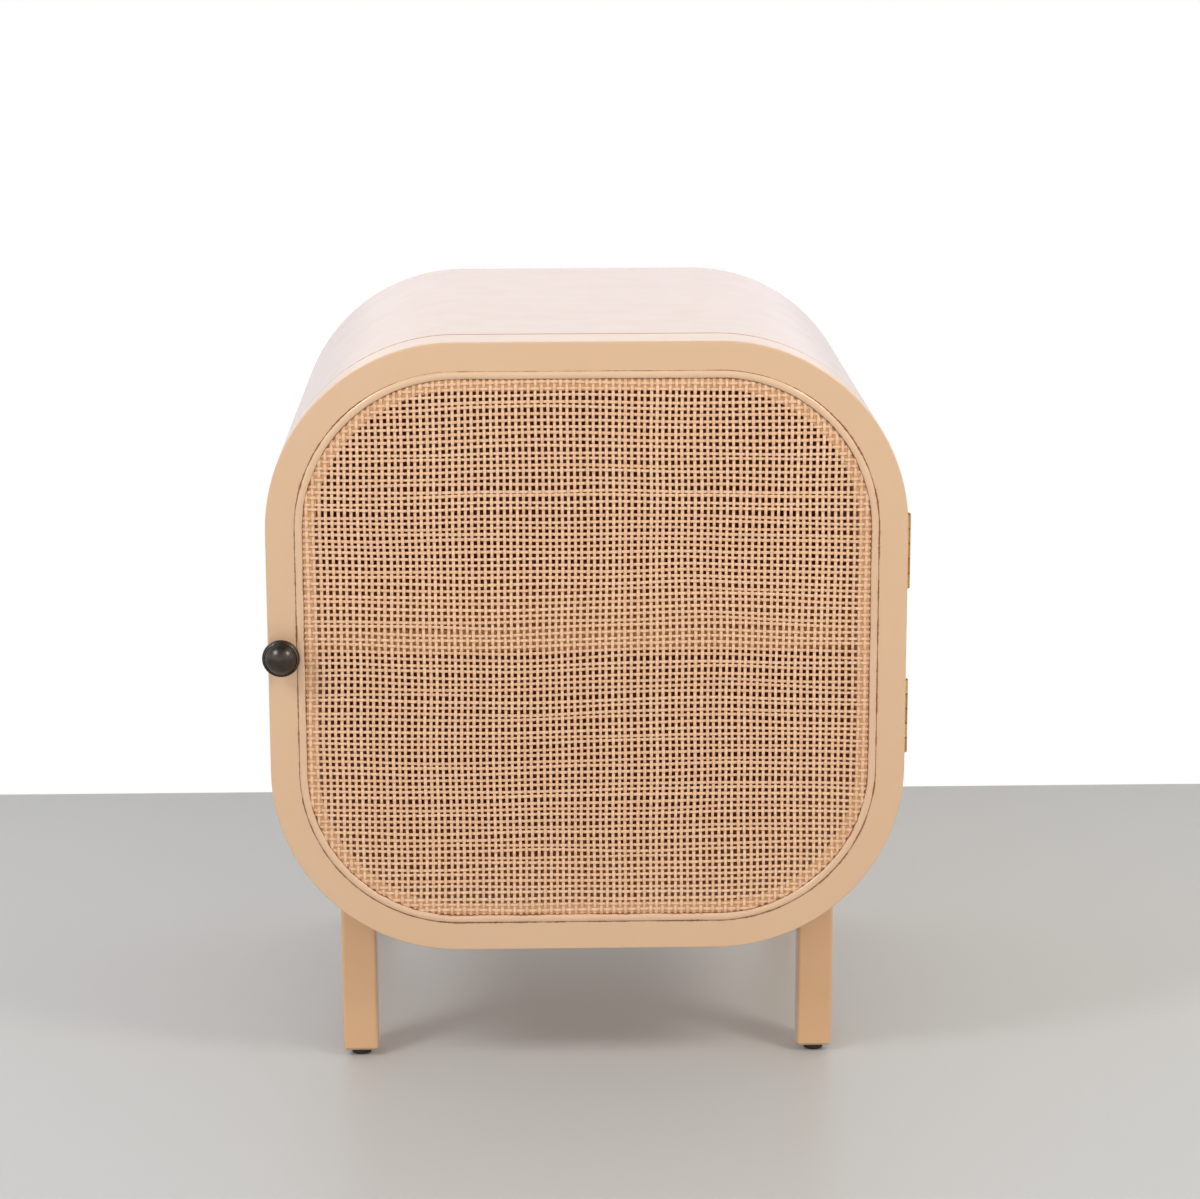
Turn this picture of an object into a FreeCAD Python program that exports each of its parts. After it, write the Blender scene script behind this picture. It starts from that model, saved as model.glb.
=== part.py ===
import FreeCAD, Part
import math
import os

# Storage side table: a bent rounded-square case on four coped legs, with a shelf and a caned door.
# Lengths are in millimetres. X runs to the right, Y to the rear and Z up from the floor.

# Case: a bent shell, open at the front and rebated at the rear for the back panel
case_width = 440.0
case_height = 430.0
case_depth = 362.0
case_corner_radius = 130.0
case_wall = 18.0
case_edge_round = 1.5
case_floor_gap = 97.5

# Back panel
back_panel_thickness = 6.0
back_panel_recess = 1.0
back_panel_clearance = 0.2
back_rebate_width = 8.0
back_screw_length = 16.0
back_screw_shank = 3.0
back_screw_head = 6.0

# Shelf on four pins
shelf_thickness = 16.0
shelf_front_setback = 4.0
shelf_drop = 2.0
shelf_clearance = 0.5
shelf_edge_round = 1.0
shelf_pin_diameter = 5.0
shelf_pin_wall_depth = 9.0
shelf_pin_reach = 10.0
shelf_pin_inset = 60.0
shelf_pin_round = 0.8

# Legs: square, with tops coped to the outside of the shell
leg_width = 25.0
leg_side_inset = 43.5
leg_front_inset = 12.0
leg_rear_inset = 19.0
leg_edge_round = 2.4
leg_foot_chamfer = 2.0
leg_glue_gap = 0.05
leg_screw_length = 40.0
leg_screw_shank = 4.0
leg_screw_head = 8.0
leg_screw_spacing = 12.0
leg_screw_entry_share = 0.25

# Glides under the legs
glide_diameter = 14.0
glide_thickness = 5.0
glide_edge_round = 1.2
glide_nail_length = 18.0
glide_nail_shank = 2.2
glide_nail_head = 5.0
glide_nail_recess = 1.0

# Door: an overlay ring that covers the case's front edge
door_thickness = 37.0
door_seam = 1.0
door_frame_width = 34.0
door_front_round = 1.0
door_back_round = 1.0
door_opening_round = 1.0

# Cane panel, wedged by a spline into a groove of the door's face
cane_groove_inset = 20.0
cane_groove_width = 5.0
cane_groove_depth = 7.0
cane_lip_recess = 1.0
cane_pitch = 4.35
cane_strand_width = 2.05
cane_strand_thickness = 0.6
cane_layer_gap = 0.05
cane_end_gap = 0.1
spline_clearance = 0.2
spline_rise = 1.0
spline_edge_round = 1.8
spline_joint_gap = 0.4

# Knob and its screw
knob_edge_inset = 10.0
knob_projection = 23.0
knob_foot_diameter = 14.0
knob_foot_height = 1.5
knob_neck_diameter = 10.0
knob_neck_height = 6.0
knob_underside_diameter = 24.6
knob_underside_height = 12.0
knob_rim_diameter = 26.0
knob_rim_chamfer = 0.7
knob_rim_top_height = 15.0
knob_shoulder_diameter = 23.3
knob_shoulder_height = 16.2
knob_groove_depth = 0.3
knob_dome_diameter = 22.5
knob_screw_bite = 9.0
knob_screw_shank = 4.0
knob_screw_head = 8.0

# Hinges: two brass butts with five knuckles each, let into the door and the case
hinge_length = 52.5
hinge_spacing = 118.6
hinge_raise = 2.0
hinge_knuckle_count = 5
hinge_knuckle_diameter = 5.8
hinge_knuckle_gap = 0.3
hinge_axis_offset = 3.0
hinge_pin_diameter = 3.0
hinge_pin_head_height = 0.8
hinge_running_clearance = 0.05
hinge_leaf_width = 13.5
hinge_leaf_thickness = 1.2
hinge_leaf_gap = 0.2
hinge_mortise_clearance = 0.2
hinge_screw_length = 14.0
hinge_screw_shank = 2.8
hinge_screw_head = 5.4
hinge_screw_height_shares = (-0.34, 0, 0.34)
hinge_screw_depth_shares = (0.4, 0.62, 0.4)

# Magnetic catch on the left wall, just under the shelf, and its strike plate on the door's back
catch_shelf_gap = 1.0
catch_base_height = 38.0
catch_base_thickness = 2.4
catch_depth = 14.0
catch_body_height = 22.0
catch_body_width = 12.0
catch_edge_round = 1.0
catch_magnet_height = 17.0
catch_magnet_width = 8.0
catch_magnet_length = 10.0
catch_magnet_rise = 0.8
catch_magnet_clearance = 0.1
catch_strike_gap = 0.3
catch_screw_length = 12.0
catch_screw_shank = 2.6
catch_screw_head = 5.0
strike_height = 24.0
strike_width = 11.0
strike_thickness = 1.2
strike_corner_round = 2.0
strike_screw_length = 14.0
strike_screw_shank = 3.0
strike_screw_head = 5.6

# Shared clearances: around screws and pins, under screw heads, and past the faces that a cut passes
fit_clearance = 0.05
head_recess = 0.1
cut_overrun = 5.0

# Places that follow from the sizes above
overall_depth = knob_projection + door_thickness + door_seam + case_depth
case_rear_y = overall_depth / 2
case_front_y = case_rear_y - case_depth
door_back_y = case_front_y - door_seam
door_front_y = door_back_y - door_thickness
case_side_x = case_width / 2
cane_lip_y = door_front_y + cane_lip_recess
case_middle_z = case_floor_gap + case_height / 2
corner_centre_x = case_width / 2 - case_corner_radius
corner_centre_up = case_height / 2 - case_corner_radius
back_panel_rear_y = case_rear_y - back_panel_recess
back_panel_front_y = back_panel_rear_y - back_panel_thickness
shelf_bottom_z = case_middle_z - shelf_drop - shelf_thickness / 2
shelf_front_y = case_front_y + shelf_front_setback
shelf_rear_y = back_panel_front_y - shelf_clearance
leg_centre_x = case_side_x - leg_side_inset - leg_width / 2
leg_front_y = case_front_y + leg_front_inset + leg_width / 2
leg_rear_y = case_rear_y - leg_rear_inset - leg_width / 2
hinge_axis_x = case_side_x + hinge_axis_offset
hinge_axis_y = case_front_y - door_seam / 2
catch_middle_z = shelf_bottom_z - catch_shelf_gap - catch_base_height / 2
catch_wall_x = case_wall - case_side_x
catch_front_y = door_back_y + strike_thickness + catch_strike_gap
catch_magnet_x = catch_wall_x + catch_base_thickness + catch_body_width / 2

Vector = FreeCAD.Vector
left = Vector(-1, 0, 0)
rear = Vector(0, 1, 0)
front = Vector(0, -1, 0)
up = Vector(0, 0, 1)
sides = {"left": -1, "right": 1}
leg_rows = {"front": leg_front_y, "rear": leg_rear_y}
hinge_heights = {
    "upper": case_middle_z + hinge_raise + hinge_spacing / 2,
    "lower": case_middle_z + hinge_raise - hinge_spacing / 2,
}


# Shared shapes

def outline_wire(inset, y):
    """The table's rounded-square outline, moved inward by inset, in the plane at y."""
    radius = case_corner_radius - inset
    corners = [(1, 1), (-1, 1), (-1, -1), (1, -1)]
    arcs = []
    for quarter, (side_x, side_z) in enumerate(corners):
        centre = Vector(side_x * corner_centre_x, y, case_middle_z + side_z * corner_centre_up)
        points = []
        for turn_share in (0, 0.5, 1):
            angle = (quarter + turn_share) * math.pi / 2
            points.append(centre + Vector(math.cos(angle), 0, math.sin(angle)) * radius)
        arcs.append(Part.Arc(*points).toShape())
    edges = []
    for arc, following in zip(arcs, arcs[1:] + arcs[:1]):
        edges.append(arc)
        edges.append(Part.makeLine(arc.Vertexes[-1].Point, following.Vertexes[0].Point))
    return Part.Wire(edges)


def outline_block(inset, y_from, y_to):
    """A solid block with the table's outline."""
    return Part.Face(outline_wire(inset, y_from)).extrude(rear * (y_to - y_from))


def outline_ring(outer_inset, inner_inset, y_from, y_to):
    """A ring between two insets of the table's outline."""
    wires = [outline_wire(outer_inset, y_from), outline_wire(inner_inset, y_from)]
    face = Part.makeFace(wires, "Part::FaceMakerBullseye")
    return face.extrude(rear * (y_to - y_from))


def rim_edges(solid, inset, y):
    """The edges of a solid that follow the outline at an inset, in the plane at y."""
    rim = outline_wire(inset, y)
    found = []
    for edge in solid.Edges:
        middle = edge.valueAt((edge.FirstParameter + edge.LastParameter) / 2)
        distance = rim.distToShape(Part.Vertex(middle))[0]
        if distance < fit_clearance and edge.BoundBox.YLength < fit_clearance:
            found.append(edge)
    return found


def box_between(low, high):
    """A box from its low corner to its high corner."""
    size = high - low
    return Part.makeBox(size.x, size.y, size.z, low)


def edges_along(solid, direction):
    """The straight edges of a solid that run along a direction."""
    found = []
    for edge in solid.Edges:
        run = edge.Vertexes[-1].Point - edge.Vertexes[0].Point
        if run.Length > 0 and run.cross(direction).Length < fit_clearance:
            found.append(edge)
    return found


def turned(points, place, direction):
    """A solid turned from (radius, height) points, with its axis set along a direction."""
    corners = [Vector(radius, 0, height) for radius, height in points]
    face = Part.Face(Part.makePolygon(corners + corners[:1]))
    solid = face.revolve(Vector(), up, 360)
    solid.Placement = FreeCAD.Placement(place, FreeCAD.Rotation(up, direction))
    return solid


def screw(place, direction, length, shank, head):
    """A countersunk screw whose head is flush with place and whose tip points along direction."""
    head_height = (head - shank) / 2
    points = [
        (0, head_recess),
        (head / 2, head_recess),
        (shank / 2, head_recess + head_height),
        (shank / 2, length - shank),
        (0, length),
    ]
    return turned(points, place, direction)


def screw_hole(place, direction, length, shank, head):
    """The cut that takes such a screw, with clearance all round and past the face at its head."""
    head_height = (head - shank) / 2
    mouth = head / 2 + fit_clearance
    bore = shank / 2 + fit_clearance
    points = [
        (0, -cut_overrun),
        (mouth, -cut_overrun),
        (mouth, head_recess),
        (bore, head_recess + head_height),
        (bore, length + fit_clearance),
        (0, length + fit_clearance),
    ]
    return turned(points, place, direction)


def each_place(make, places, *sizes):
    """One shape per (place, direction)."""
    return [make(place, direction, *sizes) for place, direction in places]


# Where the fasteners go

back_screw_sizes = (back_screw_length, back_screw_shank, back_screw_head)
leg_screw_sizes = (leg_screw_length, leg_screw_shank, leg_screw_head)
glide_nail_sizes = (glide_nail_length, glide_nail_shank, glide_nail_head)
hinge_screw_sizes = (hinge_screw_length, hinge_screw_shank, hinge_screw_head)
knob_screw_sizes = (door_thickness + knob_screw_bite, knob_screw_shank, knob_screw_head)
catch_screw_sizes = (catch_screw_length, catch_screw_shank, catch_screw_head)
strike_screw_sizes = (strike_screw_length, strike_screw_shank, strike_screw_head)


def back_screw_places():
    """Around the back panel, at the middle of each side and each corner."""
    line_inset = case_wall - back_rebate_width / 2
    radius = case_corner_radius - line_inset
    places = []
    for step in range(8):
        angle = step * math.pi / 4
        across = math.cos(angle)
        rise = math.sin(angle)
        on_side = step % 2 == 0
        reach_x = (corner_centre_x + radius) * across
        reach_z = (corner_centre_up + radius) * rise
        if not on_side:
            reach_x = math.copysign(corner_centre_x, across) + radius * across
            reach_z = math.copysign(corner_centre_up, rise) + radius * rise
        places.append((Vector(reach_x, back_panel_rear_y, case_middle_z + reach_z), front))
    return places


def leg_screw_places():
    """Two per leg, square to the inside of the shell's lower corners."""
    entry = leg_centre_x - corner_centre_x - leg_width * leg_screw_entry_share
    lean = math.asin(entry / case_corner_radius)
    centre_z = case_floor_gap + case_corner_radius
    places = []
    for side in sides.values():
        direction = Vector(side * math.sin(lean), 0, -math.cos(lean))
        for row_y in leg_rows.values():
            for half in (-1, 1):
                centre = Vector(side * corner_centre_x, row_y + half * leg_screw_spacing / 2, centre_z)
                places.append((centre + direction * (case_corner_radius - case_wall), direction))
    return places


def glide_places():
    """The middle of each leg's foot, on the floor."""
    return [Vector(side * leg_centre_x, row_y, 0) for side in sides.values() for row_y in leg_rows.values()]


def glide_nail_places():
    """Up through each glide, with the head clear of the floor."""
    return [(place + up * glide_nail_recess, up) for place in glide_places()]


def shelf_pin_places():
    """Four points on the inside walls, just under the shelf."""
    places = []
    for side in sides.values():
        for y in (shelf_front_y + shelf_pin_inset, shelf_rear_y - shelf_pin_inset):
            wall_x = side * (case_side_x - case_wall)
            places.append((Vector(wall_x, y, shelf_bottom_z - shelf_pin_diameter / 2), left * side))
    return places


def hinge_screw_places(leaf_face_y, direction):
    """Three per leaf, staggered, for both hinges."""
    places = []
    for middle_z in hinge_heights.values():
        for height_share, depth_share in zip(hinge_screw_height_shares, hinge_screw_depth_shares):
            x = case_side_x - hinge_leaf_width * depth_share
            z = middle_z + hinge_length * height_share
            places.append((Vector(x, leaf_face_y, z), direction))
    return places


def hinge_case_screw_places():
    return hinge_screw_places(hinge_axis_y + hinge_leaf_gap / 2, rear)


def hinge_door_screw_places():
    return hinge_screw_places(hinge_axis_y - hinge_leaf_gap / 2, front)


def knob_screw_places():
    return [(Vector(knob_edge_inset - case_side_x, door_back_y, case_middle_z), front)]


def catch_screw_places():
    """Through the two ears of the catch, into the left wall."""
    ear_middle = (catch_base_height + catch_body_height) / 4
    x = catch_wall_x + catch_base_thickness
    y = catch_front_y + catch_depth / 2
    return [(Vector(x, y, catch_middle_z + half * ear_middle), left) for half in (-1, 1)]


def strike_screw_places():
    return [(Vector(catch_magnet_x, door_back_y + strike_thickness, catch_middle_z), front)]


# Case and what is fixed to it

def hinge_mortise(middle_z, side_y):
    """The shallow cut for one leaf, from the seam into the door (-1) or the case (1)."""
    half_length = hinge_length / 2 + hinge_mortise_clearance
    floor_y = hinge_axis_y + side_y * (hinge_leaf_gap / 2 + hinge_leaf_thickness)
    low_y, high_y = sorted((hinge_axis_y, floor_y))
    inner_x = case_side_x - hinge_leaf_width - hinge_mortise_clearance
    low = Vector(inner_x, low_y, middle_z - half_length)
    high = Vector(case_side_x + cut_overrun, high_y, middle_z + half_length)
    return box_between(low, high)


def case_shell():
    shell = outline_ring(0, case_wall, case_front_y, case_rear_y)
    outer_rims = rim_edges(shell, 0, case_front_y) + rim_edges(shell, 0, case_rear_y)
    shell = shell.makeFillet(case_edge_round, outer_rims)
    rebate = outline_block(case_wall - back_rebate_width, back_panel_front_y, case_rear_y + cut_overrun)
    cuts = [rebate]
    cuts += [hinge_mortise(middle_z, 1) for middle_z in hinge_heights.values()]
    cuts += each_place(screw_hole, hinge_case_screw_places(), *hinge_screw_sizes)
    cuts += each_place(screw_hole, leg_screw_places(), *leg_screw_sizes)
    cuts += each_place(screw_hole, back_screw_places(), *back_screw_sizes)
    cuts += each_place(screw_hole, catch_screw_places(), *catch_screw_sizes)
    cuts += [shelf_pin_hole(place, inward) for place, inward in shelf_pin_places()]
    return shell.cut(cuts)


def back_panel():
    inset = case_wall - back_rebate_width + back_panel_clearance
    panel = outline_block(inset, back_panel_front_y, back_panel_rear_y)
    return panel.cut(each_place(screw_hole, back_screw_places(), *back_screw_sizes))


def shelf():
    reach_x = case_side_x - case_wall - shelf_clearance
    low = Vector(-reach_x, shelf_front_y, shelf_bottom_z)
    high = Vector(reach_x, shelf_rear_y, shelf_bottom_z + shelf_thickness)
    board = box_between(low, high)
    front_edges = [edge for edge in edges_along(board, left) if edge.BoundBox.YMax < shelf_rear_y]
    return board.makeFillet(shelf_edge_round, front_edges)


def shelf_pin(place, inward):
    start = place - inward * shelf_pin_wall_depth
    pin = Part.makeCylinder(shelf_pin_diameter / 2, shelf_pin_wall_depth + shelf_pin_reach, start, inward)
    ends = [edge for edge in pin.Edges if edge.Closed]
    return pin.makeChamfer(shelf_pin_round, ends)


def shelf_pin_hole(place, inward):
    start = place - inward * (shelf_pin_wall_depth + fit_clearance)
    depth = shelf_pin_wall_depth + fit_clearance + cut_overrun
    return Part.makeCylinder(shelf_pin_diameter / 2 + fit_clearance, depth, start, inward)


def leg(side, row_y):
    half = leg_width / 2
    middle_x = side * leg_centre_x
    low = Vector(middle_x - half, row_y - half, glide_thickness)
    high = Vector(middle_x + half, row_y + half, case_floor_gap + case_corner_radius)
    post = box_between(low, high)
    post = post.makeFillet(leg_edge_round, edges_along(post, up))
    foot_edges = [edge for edge in post.Edges if edge.BoundBox.ZMax < glide_thickness + fit_clearance]
    post = post.makeChamfer(leg_foot_chamfer, foot_edges)
    cuts = [outline_block(-leg_glue_gap, case_front_y, case_rear_y)]
    cuts += each_place(screw_hole, leg_screw_places(), *leg_screw_sizes)
    cuts += each_place(screw_hole, glide_nail_places(), *glide_nail_sizes)
    return post.cut(cuts)


def foot_glides():
    glides = []
    for place in glide_places():
        disc = Part.makeCylinder(glide_diameter / 2, glide_thickness, place)
        lower_edge = [edge for edge in disc.Edges if edge.BoundBox.ZMax < fit_clearance]
        disc = disc.makeFillet(glide_edge_round, lower_edge)
        glides.append(disc.cut(each_place(screw_hole, glide_nail_places(), *glide_nail_sizes)))
    return glides


# Hinges

def hinge_leaf(middle_z, side_y, own_knuckles, bore):
    """One leaf, on the door (-1) or case (1) side of the seam, with its share of the knuckles."""
    knuckle_pitch = (hinge_length + hinge_knuckle_gap) / hinge_knuckle_count
    bottom_z = middle_z - hinge_length / 2
    face_y = hinge_axis_y + side_y * hinge_leaf_gap / 2
    low_y, high_y = sorted((face_y, face_y + side_y * hinge_leaf_thickness))
    low = Vector(case_side_x - hinge_leaf_width, low_y, bottom_z)
    leaf = box_between(low, Vector(hinge_axis_x, high_y, bottom_z + hinge_length))
    clear_radius = hinge_knuckle_diameter / 2 + hinge_knuckle_gap
    for index in range(hinge_knuckle_count):
        start = Vector(hinge_axis_x, hinge_axis_y, bottom_z + index * knuckle_pitch)
        length = knuckle_pitch - hinge_knuckle_gap
        if index in own_knuckles:
            leaf = leaf.fuse(Part.makeCylinder(hinge_knuckle_diameter / 2, length, start))
        else:
            notch_start = start - up * hinge_knuckle_gap
            notch_length = length + 2 * hinge_knuckle_gap
            leaf = leaf.cut(Part.makeCylinder(clear_radius, notch_length, notch_start))
    bore_start = Vector(hinge_axis_x, hinge_axis_y, bottom_z - cut_overrun)
    return leaf.cut(Part.makeCylinder(bore, hinge_length + 2 * cut_overrun, bore_start)).removeSplitter()


def hinge_case_leaf(middle_z):
    own_knuckles = range(0, hinge_knuckle_count, 2)
    leaf = hinge_leaf(middle_z, 1, own_knuckles, hinge_pin_diameter / 2 + fit_clearance)
    return leaf.cut(each_place(screw_hole, hinge_case_screw_places(), *hinge_screw_sizes))


def hinge_door_leaf(middle_z):
    own_knuckles = range(1, hinge_knuckle_count, 2)
    leaf = hinge_leaf(middle_z, -1, own_knuckles, hinge_pin_diameter / 2 + hinge_running_clearance)
    return leaf.cut(each_place(screw_hole, hinge_door_screw_places(), *hinge_screw_sizes))


def hinge_pin(middle_z):
    """A pin with a low domed head at each end, resting on the outer knuckles."""
    half = hinge_length / 2
    shank = hinge_pin_diameter / 2
    head = hinge_knuckle_diameter / 2 - hinge_pin_head_height / 2
    crown = head - hinge_pin_head_height
    points = [
        (0, -half - hinge_pin_head_height),
        (crown, -half - hinge_pin_head_height),
        (head, -half),
        (shank, -half),
        (shank, half),
        (head, half),
        (crown, half + hinge_pin_head_height),
        (0, half + hinge_pin_head_height),
    ]
    return turned(points, Vector(hinge_axis_x, hinge_axis_y, middle_z), up)


# Door and what is fixed to it

def door_frame():
    ring = outline_ring(0, door_frame_width, door_front_y, door_back_y)
    ring = ring.makeFillet(door_front_round, rim_edges(ring, 0, door_front_y))
    ring = ring.makeFillet(door_back_round, rim_edges(ring, 0, door_back_y))
    groove_inner_inset = cane_groove_inset + cane_groove_width
    groove_floor_y = door_front_y + cane_groove_depth
    above_face_y = door_front_y - cut_overrun
    ring = ring.cut(outline_block(groove_inner_inset, above_face_y, cane_lip_y))
    ring = ring.makeFillet(door_opening_round, rim_edges(ring, door_frame_width, cane_lip_y))
    cuts = [outline_ring(cane_groove_inset, groove_inner_inset, above_face_y, groove_floor_y)]
    cuts += [hinge_mortise(middle_z, -1) for middle_z in hinge_heights.values()]
    cuts += each_place(screw_hole, hinge_door_screw_places(), *hinge_screw_sizes)
    cuts += each_place(screw_hole, knob_screw_places(), *knob_screw_sizes)
    cuts += each_place(screw_hole, strike_screw_places(), *strike_screw_sizes)
    return ring.cut(cuts)


def cane_spline():
    """The reed in the groove, rounded on its face and butted at the bottom of the door."""
    outer_inset = cane_groove_inset + spline_clearance
    inner_inset = cane_groove_inset + cane_groove_width - spline_clearance
    face_y = door_front_y - spline_rise
    reed = outline_ring(outer_inset, inner_inset, face_y, door_front_y + cane_groove_depth)
    face_edges = rim_edges(reed, outer_inset, face_y) + rim_edges(reed, inner_inset, face_y)
    reed = reed.makeFillet(spline_edge_round, face_edges)
    half_joint = spline_joint_gap / 2
    low = Vector(-half_joint, face_y - cut_overrun, case_floor_gap)
    high = Vector(half_joint, door_back_y, case_floor_gap + door_frame_width)
    return reed.cut(box_between(low, high))


def cane_strands(along_x, layer):
    """One set of parallel strands, each cut to the rounded outline inside the spline."""
    inset = cane_groove_inset + cane_groove_width + cane_end_gap
    radius = case_corner_radius - inset
    if along_x:
        cross_straight, run_straight = corner_centre_up, corner_centre_x
    else:
        cross_straight, run_straight = corner_centre_x, corner_centre_up
    back_y = cane_lip_y - cane_layer_gap - layer * (cane_strand_thickness + cane_layer_gap)
    count = int(2 * (cross_straight + radius) / cane_pitch)
    strands = []
    for index in range(count):
        middle = (index - (count - 1) / 2) * cane_pitch
        sides_of_strand = (middle - cane_strand_width / 2, middle + cane_strand_width / 2)
        ends = []
        for cross in sides_of_strand:
            into_corner = min(max(abs(cross) - cross_straight, 0), radius)
            ends.append(run_straight + math.sqrt(radius ** 2 - into_corner ** 2))
        corners = []
        for cross, end in zip(sides_of_strand, ends):
            corners.append((cross, -end))
        for cross, end in zip(sides_of_strand[::-1], ends[::-1]):
            corners.append((cross, end))
        points = []
        for cross, run in corners:
            across, rise = (run, cross) if along_x else (cross, run)
            points.append(Vector(across, back_y, case_middle_z + rise))
        face = Part.Face(Part.makePolygon(points + points[:1]))
        strands.append(face.extrude(front * cane_strand_thickness))
    return strands


def knob():
    """A turned mushroom knob: foot, waist, rim, a fine ring groove and a domed face."""
    foot = knob_foot_diameter / 2
    underside = knob_underside_diameter / 2
    rim = knob_rim_diameter / 2
    shoulder = knob_shoulder_diameter / 2
    dome = knob_dome_diameter / 2
    dome_rise = knob_projection - knob_shoulder_height
    dome_radius = (dome ** 2 + dome_rise ** 2) / (2 * dome_rise)
    half_angle = math.asin(dome / dome_radius) / 2
    dome_middle = Vector(
        dome_radius * math.sin(half_angle), 0, knob_projection - dome_radius * (1 - math.cos(half_angle)))

    def point(radius, height):
        return Vector(radius, 0, height)

    waist = Part.Arc(
        point(foot, knob_foot_height),
        point(knob_neck_diameter / 2, knob_neck_height),
        point(underside, knob_underside_height))
    face_arc = Part.Arc(point(dome, knob_shoulder_height), dome_middle, point(0, knob_projection))
    groove_middle = (shoulder + dome) / 2
    rim_points = [
        point(underside, knob_underside_height),
        point(rim, knob_underside_height + knob_rim_chamfer),
        point(rim, knob_rim_top_height),
        point(shoulder, knob_shoulder_height),
        point(groove_middle, knob_shoulder_height - knob_groove_depth),
        point(dome, knob_shoulder_height),
    ]
    foot_points = [point(0, knob_projection), point(0, 0), point(foot, 0), point(foot, knob_foot_height)]
    edges = [waist.toShape()]
    edges += Part.makePolygon(rim_points).Edges
    edges.append(face_arc.toShape())
    edges += Part.makePolygon(foot_points).Edges
    face = Part.Face(Part.Wire(Part.__sortEdges__(edges)))
    solid = face.revolve(Vector(), up, 360)
    place = Vector(knob_edge_inset - case_side_x, door_front_y, case_middle_z)
    solid.Placement = FreeCAD.Placement(place, FreeCAD.Rotation(up, front))
    return solid.cut(each_place(screw_hole, knob_screw_places(), *knob_screw_sizes))


# Catch

def catch_housing():
    """A plate with two ears against the wall, and a body with a pocket for the magnet."""
    base_half = catch_base_height / 2
    body_half = catch_body_height / 2
    base_front_x = catch_wall_x + catch_base_thickness
    front_y = catch_front_y + catch_magnet_rise
    rear_y = catch_front_y + catch_depth
    base = box_between(
        Vector(catch_wall_x, front_y, catch_middle_z - base_half),
        Vector(base_front_x, rear_y, catch_middle_z + base_half))
    body = box_between(
        Vector(catch_wall_x, front_y, catch_middle_z - body_half),
        Vector(base_front_x + catch_body_width, rear_y, catch_middle_z + body_half))
    body_corners = [edge for edge in edges_along(body, rear) if edge.BoundBox.XMin > base_front_x]
    body = body.makeFillet(catch_edge_round, body_corners)
    pocket = catch_magnet_block(catch_magnet_clearance, front_y - cut_overrun)
    housing = base.fuse(body).cut(pocket).removeSplitter()
    return housing.cut(each_place(screw_hole, catch_screw_places(), *catch_screw_sizes))


def catch_magnet_block(grow, face_y):
    """The magnet's block, or its pocket when it grows by a clearance."""
    half_width = catch_magnet_width / 2 + grow
    half_height = catch_magnet_height / 2 + grow
    low = Vector(catch_magnet_x - half_width, face_y, catch_middle_z - half_height)
    high = Vector(catch_magnet_x + half_width, catch_front_y + catch_magnet_length, catch_middle_z + half_height)
    return box_between(low, high)


def strike_plate():
    half_width = strike_width / 2
    half_height = strike_height / 2
    low = Vector(catch_magnet_x - half_width, door_back_y, catch_middle_z - half_height)
    high = Vector(catch_magnet_x + half_width, door_back_y + strike_thickness, catch_middle_z + half_height)
    plate = box_between(low, high)
    plate = plate.makeFillet(strike_corner_round, edges_along(plate, rear))
    return plate.cut(each_place(screw_hole, strike_screw_places(), *strike_screw_sizes))


# Every piece by its name

def all_pieces():
    pieces = {
        "case_shell": [case_shell()],
        "back_panel": [back_panel()],
        "back_panel_screws": each_place(screw, back_screw_places(), *back_screw_sizes),
        "shelf": [shelf()],
        "shelf_pins": each_place(shelf_pin, shelf_pin_places()),
        "leg_screws": each_place(screw, leg_screw_places(), *leg_screw_sizes),
        "foot_glides": foot_glides(),
        "glide_nails": each_place(screw, glide_nail_places(), *glide_nail_sizes),
        "hinge_case_screws": each_place(screw, hinge_case_screw_places(), *hinge_screw_sizes),
        "catch_housing": [catch_housing()],
        "catch_magnet": [catch_magnet_block(0, catch_front_y)],
        "catch_screws": each_place(screw, catch_screw_places(), *catch_screw_sizes),
        "door_frame": [door_frame()],
        "cane_uprights": cane_strands(False, 0),
        "cane_crosswise": cane_strands(True, 1),
        "cane_spline": [cane_spline()],
        "knob": [knob()],
        "knob_screw": each_place(screw, knob_screw_places(), *knob_screw_sizes),
        "hinge_door_screws": each_place(screw, hinge_door_screw_places(), *hinge_screw_sizes),
        "strike_plate": [strike_plate()],
        "strike_screw": each_place(screw, strike_screw_places(), *strike_screw_sizes),
    }
    for row, row_y in leg_rows.items():
        for side_name, side in sides.items():
            pieces[f"leg_{row}_{side_name}"] = [leg(side, row_y)]
    for name, middle_z in hinge_heights.items():
        pieces[f"hinge_{name}_case_leaf"] = [hinge_case_leaf(middle_z)]
        pieces[f"hinge_{name}_door_leaf"] = [hinge_door_leaf(middle_z)]
        pieces[f"hinge_{name}_pin"] = [hinge_pin(middle_z)]
    return pieces


os.makedirs("parts", exist_ok=True)
for node, solids in all_pieces().items():
    shape = solids[0] if len(solids) == 1 else Part.makeCompound(solids)
    shape.exportStep(f"parts/{node}.step")
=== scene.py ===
import math
import random

import bmesh
import bpy
from mathutils import Matrix, Vector, noise


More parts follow.
